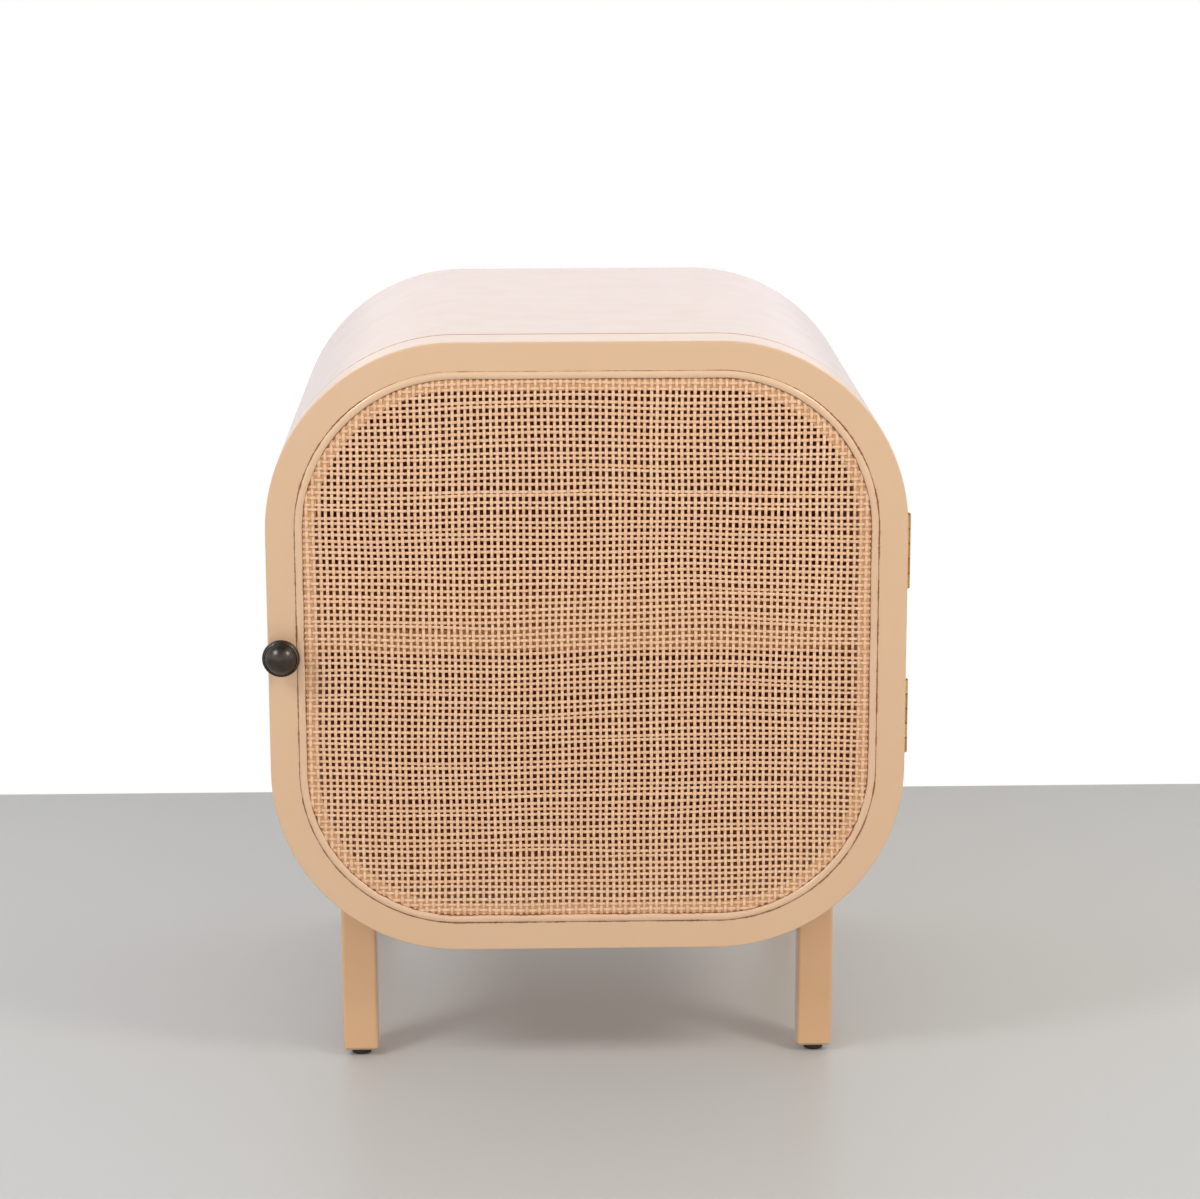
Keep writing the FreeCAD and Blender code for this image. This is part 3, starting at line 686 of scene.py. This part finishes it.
def off_axis(tree, place, **axis):
    """How far a point lies from an axis, given as two coordinates and their values."""
    at = split_place(tree, place)
    squares = []
    for name, value in axis.items():
        offset = math_node(tree, "SUBTRACT", at[name], value)
        squares.append(math_node(tree, "MULTIPLY", offset, offset))
    return math_node(tree, "SQRT", math_node(tree, "ADD", *squares))


def bronze_material():
    """Dark lacquered bronze, with a pale painted highlight on the fine bead round the knob's face."""
    material, tree, shader, place, colour = metal_material("bronze", *bronze_finish)
    from_axis = off_axis(tree, place, X=knob_middle.x, Z=knob_middle.z)
    from_bead = gap_node(tree, from_axis, bead_share * knob_radius)
    # Painted highlight: pale on the fine bead, where it catches the light
    bead_glint = range_node(tree, from_bead, *bead_highlight_reaches, 1, 0)
    bead_y = knob_high.y - bead_height_share * knob_length
    on_face = math_node(tree, "LESS_THAN", split_place(tree, place)["Y"], bead_y)
    patch = drift_node(tree, place, *bead_highlight_drift)
    share = math_node(tree, "MULTIPLY", math_node(tree, "MULTIPLY", bead_glint, on_face), patch)
    feed(tree, shader["Base Color"], mix_node(tree, share, colour, bronze_bead_highlight_colour))
    return material


def knuckle_shade_and_reflection(tree, height):
    """Painted shade in the joint between knuckles and a painted reflection tone for each, by height over the
    lower hinge's foot.
    """
    step = math_node(tree, "DIVIDE", math_node(tree, "MODULO", height, hinge_spacing), knuckle_pitch)
    share = math_node(tree, "FRACT", step)
    near_joint = math_node(tree, "MINIMUM", share, math_node(tree, "SUBTRACT", 1, share))
    joint = range_node(tree, near_joint, *knuckle_joint_shares, 1, 0)
    on_upper = math_node(tree, "GREATER_THAN", height, hinge_spacing)
    first = math_node(tree, "MULTIPLY", on_upper, knuckle_count)
    draw = tree.nodes.new("ShaderNodeTexWhiteNoise")
    draw.noise_dimensions = "1D"
    fill(tree, draw, {"W": math_node(tree, "ADD", math_node(tree, "FLOOR", step), first)})
    tone = math_node(tree, "MULTIPLY", draw.outputs["Value"], knuckle_reflection_share)
    return math_node(tree, "MAXIMUM", tone, joint)


def brass_material():
    """Brass whose hinge barrels differ from knuckle to knuckle as painted reflection, with painted shade at
    the joints.
    """
    material, tree, shader, place, colour = metal_material("brass", *brass_finish)
    away = off_axis(tree, place, X=hinge_axis_x, Y=hinge_axis_y)
    barrel = range_node(tree, away, *beyond(knuckle_radius, barrel_steps), 1, 0)
    lowest = lower_hinge_low.z - knuckle_gap / 2
    height = math_node(tree, "SUBTRACT", split_place(tree, place)["Z"], lowest)
    # Painted shade at the joints and painted reflection tone for each knuckle
    tarnish_and_shade = math_node(tree, "MULTIPLY", knuckle_shade_and_reflection(tree, height), barrel)
    feed(tree, shader["Base Color"], mix_node(tree, tarnish_and_shade, colour, brass_knuckle_shade_colour))
    return material


def moulded_material(name, colour, pale_colour, gloss):
    """Dark moulded or pressed stock with a fine matt skin."""
    material, tree, shader, place = new_material(name, name, moulded_settings)
    skin = noise_node(tree, place, *moulded_noise)
    feed(tree, shader["Base Color"], mix_node(tree, skin, colour, pale_colour))
    uneven = range_node(tree, skin, *moulded_noise_ends, gloss, gloss + moulded_gloss_spread)
    feed(tree, shader["Roughness"], uneven)
    relief(tree, skin, shader, moulded_relief)
    return material


case_lacquer = case_lacquer_material()
# The legs' lacquer is a darker, more orange copy of the case's, as painted shade
shaded_leg_lacquer = lacquer_material("shaded_leg_lacquer", haze_colour, *shaded_leg_finish)[0]
panel_board = panel_material()
shelf_board = board_material("shelf_board", shelf_colour, shelf_fibre_colour, crosswise_grain)[0]
door_lacquer = door_lacquer_material()
upright_cane = cane_material("upright_cane", upright_fibre)
crosswise_cane = cane_material("crosswise_cane", crosswise_fibre)
reed = reed_material()
brass = brass_material()
bronze = bronze_material()
steel = metal_material("steel", *steel_finish)[0]
plastic = moulded_material("plastic", *plastic_finish)
magnet = moulded_material("magnet", *magnet_finish)
slot_materials = {
    material["slot"]: material
    for material in (case_lacquer, panel_board, upright_cane, reed, brass, bronze, steel, plastic, magnet)}


def dress_cad_nodes():
    """Give every carried-over solid its finish."""
    for name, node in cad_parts.items():
        for material_slot in node.material_slots:
            slot_name = material_slot.material.name.split(".")[0]
            if slot_name in slot_materials:
                material_slot.material = slot_materials[slot_name]
        if name == "door_frame":
            node.material_slots[0].material = door_lacquer
        if name == "shelf":
            node.material_slots[0].material = shelf_board
        if name.startswith("leg_") and name != "leg_screws":
            node.material_slots[0].material = shaded_leg_lacquer


# New pieces

def add_object(name, data):
    """Put a new object into the scene."""
    added = bpy.data.objects.new(name, data)
    bpy.context.scene.collection.objects.link(added)
    return added


def add_mesh(bm, name, material):
    """Put a bmesh into the scene, with its material."""
    mesh = bpy.data.meshes.new(name)
    bm.to_mesh(mesh)
    bm.free()
    mesh.materials.append(material)
    return add_object(name, mesh)


def finish_piece(bm, name, body, material, sharp_degrees, *nodes):
    """Turn a bmesh into a piece that rides on a body and stands for CAD nodes."""
    piece = add_mesh(bm, name, material)
    piece.data.shade_smooth()
    piece.data.set_sharp_from_angle(angle=math.radians(sharp_degrees))
    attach(piece, body)
    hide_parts(*nodes)


def once(items):
    """Each item once, in the order in which it comes."""
    return list(dict.fromkeys(items))


def of_kind(items, kind):
    """The verts, edges or faces among an operator's results."""
    return [item for item in items if isinstance(item, kind)]


def strand_reach(cross, cross_straight, run_straight):
    """Half the length of a strand at a distance from the panel's middle."""
    radius = case_corner_radius - strand_end_inset
    into_corner = min(max(abs(cross) - cross_straight, 0), radius)
    return run_straight + math.sqrt(radius ** 2 - into_corner ** 2)


def strand_count(straight):
    """As many strands as fit inside the groove."""
    return int(2 * (straight + case_corner_radius - groove_inner_inset) / cane_pitch)


columns = strand_count(corner_centre_x)
rows = strand_count(corner_centre_up)
strand_draw = random.Random(strand_seed)
noise.seed_set(strand_seed)
column_shifts = [strand_draw.uniform(-column_shift, column_shift) for _ in range(columns)]
row_shifts = [strand_draw.uniform(-row_shift, row_shift) for _ in range(rows)]
column_tones = [strand_draw.random() for _ in range(columns)]
row_tones = [strand_draw.random() for _ in range(rows)]
width_shares = [
    1 + strand_draw.uniform(-width_drift_share, width_drift_share) for _ in range(max(columns, rows))]


def crossing(column, row):
    """Where an upright and a crosswise strand meet, from the panel's middle."""
    x = (column - (columns - 1) / 2) * cane_pitch
    up = (row - (rows - 1) / 2) * cane_pitch
    drift = noise.noise_vector(Vector((x, 0, up)) / wander_length)
    sway = noise.noise(Vector((x, wander_length, up)) / sway_length)
    own = noise.noise(Vector((x / row_own_length, row * row_own_step, 0)))
    return (
        x + column_shifts[column] + drift.x * column_wander,
        up + row_shifts[row] + drift.z * row_wander + own * row_own_wander + sway * row_sway,
    )


def strand_path(points, signs, reach):
    """Stations of a strand as (cross, run, depth): its ends, its crossings and the points between."""
    inside = []
    for (cross, run), sign in zip(points, signs):
        if abs(run) < reach - strand_end_margin:
            inside.append((cross, run, weave_middle_y - sign * weave_swing))
    path = [(inside[0][0], -reach, weave_middle_y + strand_end_drop)]
    for index, station in enumerate(inside):
        if index:
            before = inside[index - 1]
            path.append(tuple((a + b) / 2 for a, b in zip(before, station)))
        path.append(station)
    path.append((inside[-1][0], reach, weave_middle_y + strand_end_drop))
    return path


def add_strand(bm, tone_layer, path, width, tone, along_x):
    """One flat strand: a grid bent along its path, crowned across and given its thickness."""
    steps = len(path) - 1
    grid = bmesh.ops.create_grid(bm, x_segments=strand_strips, y_segments=steps, size=1)["verts"]
    for vert in grid:
        across = vert.co.x
        cross, run, depth = path[round((vert.co.y + 1) / 2 * steps)]
        cross += across * width / 2
        depth += strand_crown * across ** 2 - strand_thickness / 2
        x, up = (run, cross) if along_x else (cross, run)
        vert.co = (x, depth, case_middle_z + up)
        vert[tone_layer] = tone
    faces = once(face for vert in grid for face in vert.link_faces)
    back = bmesh.ops.extrude_face_region(bm, geom=faces, use_keep_orig=True)["geom"]
    bmesh.ops.translate(bm, verts=of_kind(back, bmesh.types.BMVert), vec=(0, strand_thickness, 0))


def weave(along_x):
    """All the strands that run one way."""
    bm = bmesh.new()
    tone_layer = bm.verts.layers.float.new("strand_tone")
    straights = (corner_centre_x, corner_centre_up)
    count, stations, tones, width = columns, rows, column_tones, column_width
    if along_x:
        straights = (corner_centre_up, corner_centre_x)
        count, stations, tones, width = rows, columns, row_tones, row_width
    for index in range(count):
        if along_x:
            points = [crossing(station, index)[::-1] for station in range(stations)]
        else:
            points = [crossing(index, station) for station in range(stations)]
        signs = [(-1) ** (index + station + along_x) for station in range(stations)]
        middle = points[stations // 2][0]
        path = strand_path(points, signs, strand_reach(middle, *straights))
        add_strand(bm, tone_layer, path, width * width_shares[index], tones[index], along_x)
    bmesh.ops.recalc_face_normals(bm, faces=bm.faces)
    return bm


def make_cane():
    """The two sets of strands, which pass over and under each other."""
    angle = strand_sharp_angle
    finish_piece(weave(False), "cane_weave_upright", "door", upright_cane, angle, "cane_uprights")
    finish_piece(weave(True), "cane_weave_crosswise", "door", crosswise_cane, angle, "cane_crosswise")


def outward(co):
    """The way square to the door's outline at a point, and the distance from the corners' centres."""
    up = co.z - case_middle_z
    near_x = min(max(co.x, -corner_centre_x), corner_centre_x)
    near_up = min(max(up, -corner_centre_up), corner_centre_up)
    past = Vector((co.x - near_x, 0, up - near_up))
    return past.normalized(), past.length


def reed_section(bm, middle_radius):
    """The edges of the reed's rounded section, beside its joint at the bottom."""
    start = Vector((reed_joint_gap / 2, door_front_y - reed_rise + reed_depth / 2, 0))
    start.z = case_middle_z - corner_centre_up - middle_radius
    ring = bmesh.ops.create_circle(bm, segments=reed_sides, radius=1)["verts"]
    for vert in ring:
        across = math.copysign(abs(vert.co.x) ** reed_square_share, vert.co.x)
        deep = math.copysign(abs(vert.co.y) ** reed_square_share, vert.co.y)
        vert.co = start + Vector((0, deep * reed_depth / 2, across * reed_width / 2))
    return once(edge for vert in ring for edge in vert.link_edges)


def sweep(bm, edges, steps, **way):
    """Spin a section on, and give the edges of its far end."""
    swept = bmesh.ops.spin(bm, geom=edges, axis=(0, -1, 0), steps=steps, **way)
    return of_kind(swept["geom_last"], bmesh.types.BMEdge)


def make_reed():
    """A rounded reed swept round the groove, butted at the bottom, with slightly uneven sides."""
    bm = bmesh.new()
    middle_radius = case_corner_radius - (reed_outer_inset + reed_inner_inset) / 2
    edges = reed_section(bm, middle_radius)
    half_x = corner_centre_x - reed_joint_gap / 2
    full_x = 2 * corner_centre_x
    full_up = 2 * corner_centre_up
    runs = [(half_x, 0), (0, full_up), (-full_x, 0), (0, -full_up), (half_x, 0)]
    corners = [(1, -1), (1, 1), (-1, 1), (-1, -1)]
    corner_steps = round(middle_radius * math.pi / 2 / reed_step)
    for index, (run_x, run_up) in enumerate(runs):
        steps = round(max(abs(run_x), abs(run_up)) / reed_step)
        edges = sweep(bm, edges, steps, dvec=Vector((run_x, 0, run_up)) / steps, angle=0)
        if index < len(corners):
            side_x, side_up = corners[index]
            centre = (side_x * corner_centre_x, 0, case_middle_z + side_up * corner_centre_up)
            edges = sweep(bm, edges, corner_steps, cent=centre, angle=math.pi / 2)
    bmesh.ops.holes_fill(bm, edges=[edge for edge in bm.edges if edge.is_boundary], sides=reed_sides)
    bmesh.ops.recalc_face_normals(bm, faces=bm.faces)
    for vert in bm.verts:
        away, radius = outward(vert.co)
        side = 1 if radius > middle_radius else -1
        spot = Vector((vert.co.x, side, vert.co.z)) / reed_wobble_length
        wobble = noise.noise(spot) * reed_wobble
        lift = noise.noise(spot * reed_rise_pace + Vector((0, reed_rise_shift, 0))) * reed_rise_wobble
        vert.co += away * wobble + Vector((0, lift, 0))
    finish_piece(bm, "cane_reed", "door", reed, reed_sharp_angle, "cane_spline")


def knob_stations():
    """Radius and height of each step of the knob's turning, after its foot."""
    dome_share, dome_start_share = knob_dome_shares
    dome_radius = dome_share * knob_radius
    dome_rise = knob_length - dome_start_share * knob_length
    sphere_radius = (dome_radius ** 2 + dome_rise ** 2) / (2 * dome_rise)
    full_angle = math.asin(dome_radius / sphere_radius)
    stations = [(across * knob_radius, along * knob_length) for across, along in knob_turning_shares]
    for step in range(knob_dome_steps):
        angle = full_angle * (1 - step / knob_dome_steps)
        height = knob_length - sphere_radius * (1 - math.cos(angle))
        stations.append((sphere_radius * math.sin(angle), height))
    stations.append((knob_tip_share * knob_radius, knob_length))
    return stations


def make_knob():
    """A turned knob: foot, waist, rim, fine bead and domed face, extruded from step to step."""
    foot_share, foot_height_share = knob_foot_shares
    radius = foot_share * knob_radius
    height = foot_height_share * knob_length
    bm = bmesh.new()
    bmesh.ops.create_cone(
        bm, cap_ends=True, segments=knob_sides, radius1=radius, radius2=radius, depth=height,
        matrix=Matrix.Translation((0, 0, height / 2)))
    face = max(bm.faces, key=lambda part: part.calc_center_median().z)
    for next_radius, next_height in knob_stations():
        face = bmesh.ops.extrude_discrete_faces(bm, faces=[face])["faces"][0]
        grow = next_radius / radius
        bmesh.ops.scale(bm, verts=face.verts, vec=(grow, grow, 1))
        bmesh.ops.translate(bm, verts=face.verts, vec=(0, 0, next_height - height))
        radius = next_radius
        height = next_height
    bmesh.ops.recalc_face_normals(bm, faces=bm.faces)
    seat = Matrix.Translation((knob_middle.x, knob_high.y, knob_middle.z))
    bmesh.ops.transform(bm, matrix=seat @ Matrix.Rotation(math.pi / 2, 4, "X"), verts=bm.verts)
    finish_piece(bm, "turned_knob", "door", bronze, knob_sharp_angle, "knob")


def cut_recess(bm, face, head, crossed):
    """A straight slot or a cross recess, cut into the head's face."""
    width = head * (cross_width_share if crossed else slot_width_share) / 2
    reach = head * cross_reach_share
    depth = head * (cross_depth_share if crossed else slot_depth_share)
    z = face.calc_center_median().z
    along, across = (1, 0, 0), (0, 1, 0)
    planes = [(across, width), (across, -width)]
    if crossed:
        planes += [(along, width), (along, -width)]
        planes += [(across, reach), (across, -reach), (along, reach), (along, -reach)]
    top = [face]
    for normal, offset in planes:
        geom = list(top)
        for part in top:
            geom += [*part.edges, *part.verts]
        cut = bmesh.ops.bisect_plane(
            bm, geom=once(geom), plane_co=Vector(normal) * offset + Vector((0, 0, z)), plane_no=normal)
        top = of_kind(cut["geom"], bmesh.types.BMFace)
    cells = []
    for part in top:
        middle = part.calc_center_median()
        in_arm = abs(middle.y) < width and (not crossed or abs(middle.x) < reach)
        in_cross_arm = crossed and abs(middle.x) < width and abs(middle.y) < reach
        if in_arm or in_cross_arm:
            cells.append(part)
    floor = bmesh.ops.extrude_face_region(bm, geom=cells)["geom"]
    bmesh.ops.translate(bm, verts=of_kind(floor, bmesh.types.BMVert), vec=(0, 0, -depth))
    bmesh.ops.delete(bm, geom=[cell for cell in cells if cell.is_valid], context="FACES")


def add_screw(target, place, direction, sizes, crossed, turn):
    """A countersunk screw with a driver recess, its tip along direction."""
    length, shank, head = sizes
    head_height = (head - shank) / 2
    bm = bmesh.new()
    bmesh.ops.create_cone(
        bm, cap_ends=True, segments=screw_sides, radius1=shank / 2, radius2=head / 2, depth=head_height,
        matrix=Matrix.Translation((0, 0, -screw_head_recess - head_height / 2)))
    caps = [face for face in bm.faces if len(face.verts) == screw_sides]
    under, top = sorted(caps, key=lambda face: face.calc_center_median().z)
    shank_end = bmesh.ops.extrude_discrete_faces(bm, faces=[under])["faces"][0]
    straight = length - shank - screw_head_recess - head_height
    bmesh.ops.translate(bm, verts=shank_end.verts, vec=(0, 0, -straight))
    tip = bmesh.ops.extrude_discrete_faces(bm, faces=[shank_end])["faces"][0]
    bmesh.ops.scale(bm, verts=tip.verts, vec=(screw_tip_share, screw_tip_share, 1))
    bmesh.ops.translate(bm, verts=tip.verts, vec=(0, 0, -shank))
    cut_recess(bm, top, head, crossed)
    bmesh.ops.recalc_face_normals(bm, faces=bm.faces)
    aim = Vector((0, 0, 1)).rotation_difference(-direction).to_matrix().to_4x4()
    matrix = Matrix.Translation(place) @ aim @ Matrix.Rotation(turn, 4, "Z")
    bmesh.ops.transform(bm, matrix=matrix, verts=bm.verts)
    mesh = bpy.data.meshes.new("one_screw")
    bm.to_mesh(mesh)
    bm.free()
    target.from_mesh(mesh)
    bpy.data.meshes.remove(mesh)


def solid_centres(node):
    """The middle of each separate solid of a CAD node, from a merged copy of its mesh."""
    bm = bmesh.new()
    bm.from_mesh(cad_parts[node].data)
    bmesh.ops.remove_doubles(bm, verts=bm.verts, dist=merge_distance)
    left = set(bm.verts)
    centres = []
    while left:
        reached = [left.pop()]
        island = []
        while reached:
            vert = reached.pop()
            island.append(vert.co.copy())
            for edge in vert.link_edges:
                other = edge.other_vert(vert)
                if other in left:
                    left.remove(other)
                    reached.append(other)
        low = Vector([min(co[axis] for co in island) for axis in range(3)])
        high = Vector([max(co[axis] for co in island) for axis in range(3)])
        centres.append((low + high) / 2)
    bm.free()
    return sorted(centres, key=lambda middle: tuple(round(value, sort_digits) for value in middle))


def out_at_corner(middle):
    """The way from a lower corner's centre out through the shell."""
    centre_x = math.copysign(corner_centre_x, middle.x)
    centre = Vector((centre_x, middle.y, case_low.z + case_corner_radius))
    return (middle - centre).normalized()


def make_screws(name, node, body, slot, way, sizes):
    """Screws in place of a CAD node's own: cross-headed in steel, slotted in brass."""
    target = bmesh.new()
    for index, middle in enumerate(solid_centres(node)):
        direction = way or out_at_corner(middle)
        place = middle - direction * (sizes[0] + screw_head_recess) / 2
        add_screw(target, place, direction, sizes, slot == "steel", index * screw_turn_step)
    finish_piece(target, name, body, slot_materials[slot], screw_sharp_angle, node)


# Stage, light and camera

def seen_rays(tree):
    """One where a ray comes from the camera, a reflection or clear stock."""
    path = tree.nodes.new("ShaderNodeLightPath").outputs
    shown = math_node(tree, "MAXIMUM", path["Is Camera Ray"], path["Is Glossy Ray"])
    return math_node(tree, "MAXIMUM", shown, path["Is Transmission Ray"])


def mix_shaders(tree, *parts):
    """Mix two shaders, given after their share."""
    node = tree.nodes.new("ShaderNodeMixShader")
    fill(tree, node, dict(enumerate(parts)))
    return node.outputs[0]


def stage_material(name, colour, bright):
    """Plain matt stage, clear from behind; a bright one shows as white to the camera and in gloss."""
    material = bpy.data.materials.new(name)
    material.use_nodes = True
    tree = material.node_tree
    shader = tree.nodes["Principled BSDF"]
    fill(tree, shader, {"Base Color": colour, "Roughness": stage_roughness})
    surface = shader.outputs[0]
    if bright:
        glow = tree.nodes.new("ShaderNodeEmission").outputs[0]
        surface = mix_shaders(tree, seen_rays(tree), surface, glow)
    clear = tree.nodes.new("ShaderNodeBsdfTransparent").outputs[0]
    behind = tree.nodes.new("ShaderNodeNewGeometry").outputs["Backfacing"]
    fill(tree, tree.nodes["Material Output"], {"Surface": mix_shaders(tree, behind, surface, clear)})
    return material


def stage_plane(name, material, matrix, reach_x, reach_y):
    """A flat sheet of the stage."""
    bm = bmesh.new()
    bmesh.ops.create_grid(bm, x_segments=1, y_segments=1, size=1)
    bmesh.ops.scale(bm, verts=bm.verts, vec=(reach_x, reach_y, 1))
    bmesh.ops.transform(bm, matrix=matrix, verts=bm.verts)
    plane = add_mesh(bm, name, material)


def make_stage():
    """The floor and an upright backdrop behind the table."""
    floor = stage_material("floor", floor_colour, False)
    stage_plane("floor", floor, Matrix.Identity(4), stage_reach, stage_reach)
    backdrop = stage_material("backdrop", white, True)
    upright = Matrix.Translation((0, wall_y, wall_height / 2)) @ Matrix.Rotation(math.pi / 2, 4, "X")
    stage_plane("backdrop", backdrop, upright, stage_reach, wall_height / 2)


def make_lamp(name, place, colour):
    """A round soft lamp, aimed at the table's middle."""
    light = bpy.data.lights.new(name, "AREA")
    light.shape = "DISK"
    light.size = lamp_size
    light.energy = lamp_power
    light.color = colour
    lamp = add_object(name, light)
    lamp.location = place
    lamp.rotation_euler = (Vector(lamp_target) - Vector(place)).to_track_quat("-Z", "Y").to_euler()


def make_world():
    """Soft light all round, brightest at eye level and falling off overhead."""
    world = bpy.data.worlds.new("studio")
    bpy.context.scene.world = world
    world.use_nodes = True
    tree = world.node_tree
    height = split_place(tree, tree.nodes.new("ShaderNodeTexCoord").outputs["Generated"])["Z"]
    glow = range_node(tree, height, 0, 1, horizon_strength, zenith_strength)
    glow.node.interpolation_type = "LINEAR"
    fill(tree, tree.nodes["Background"], {"Color": white, "Strength": glow})


def make_camera():
    """A camera before the table that looks a little down on it."""
    data = bpy.data.cameras.new("camera")
    data.lens = camera_lens
    data.sensor_width = camera_sensor
    camera = add_object("camera", data)
    turn = Matrix.Rotation(camera_turn, 4, "Z")
    tilt = Matrix.Rotation(math.pi / 2 - camera_tilt, 4, "X")
    roll = Matrix.Rotation(camera_roll, 4, "Z")
    camera.matrix_world = Matrix.Translation(camera_place) @ turn @ tilt @ roll
    bpy.context.scene.camera = camera


dress_cad_nodes()
make_cane()
make_reed()
make_knob()
for screws in screw_sets:
    make_screws(*screws)
make_stage()
make_lamp("lamp_left", (-lamp_x, lamp_y, lamp_z), left_lamp_colour)
make_lamp("lamp_right", (lamp_x, lamp_y, lamp_z), right_lamp_colour)
make_world()
make_camera()
bpy.context.scene.view_settings.view_transform = "Standard"
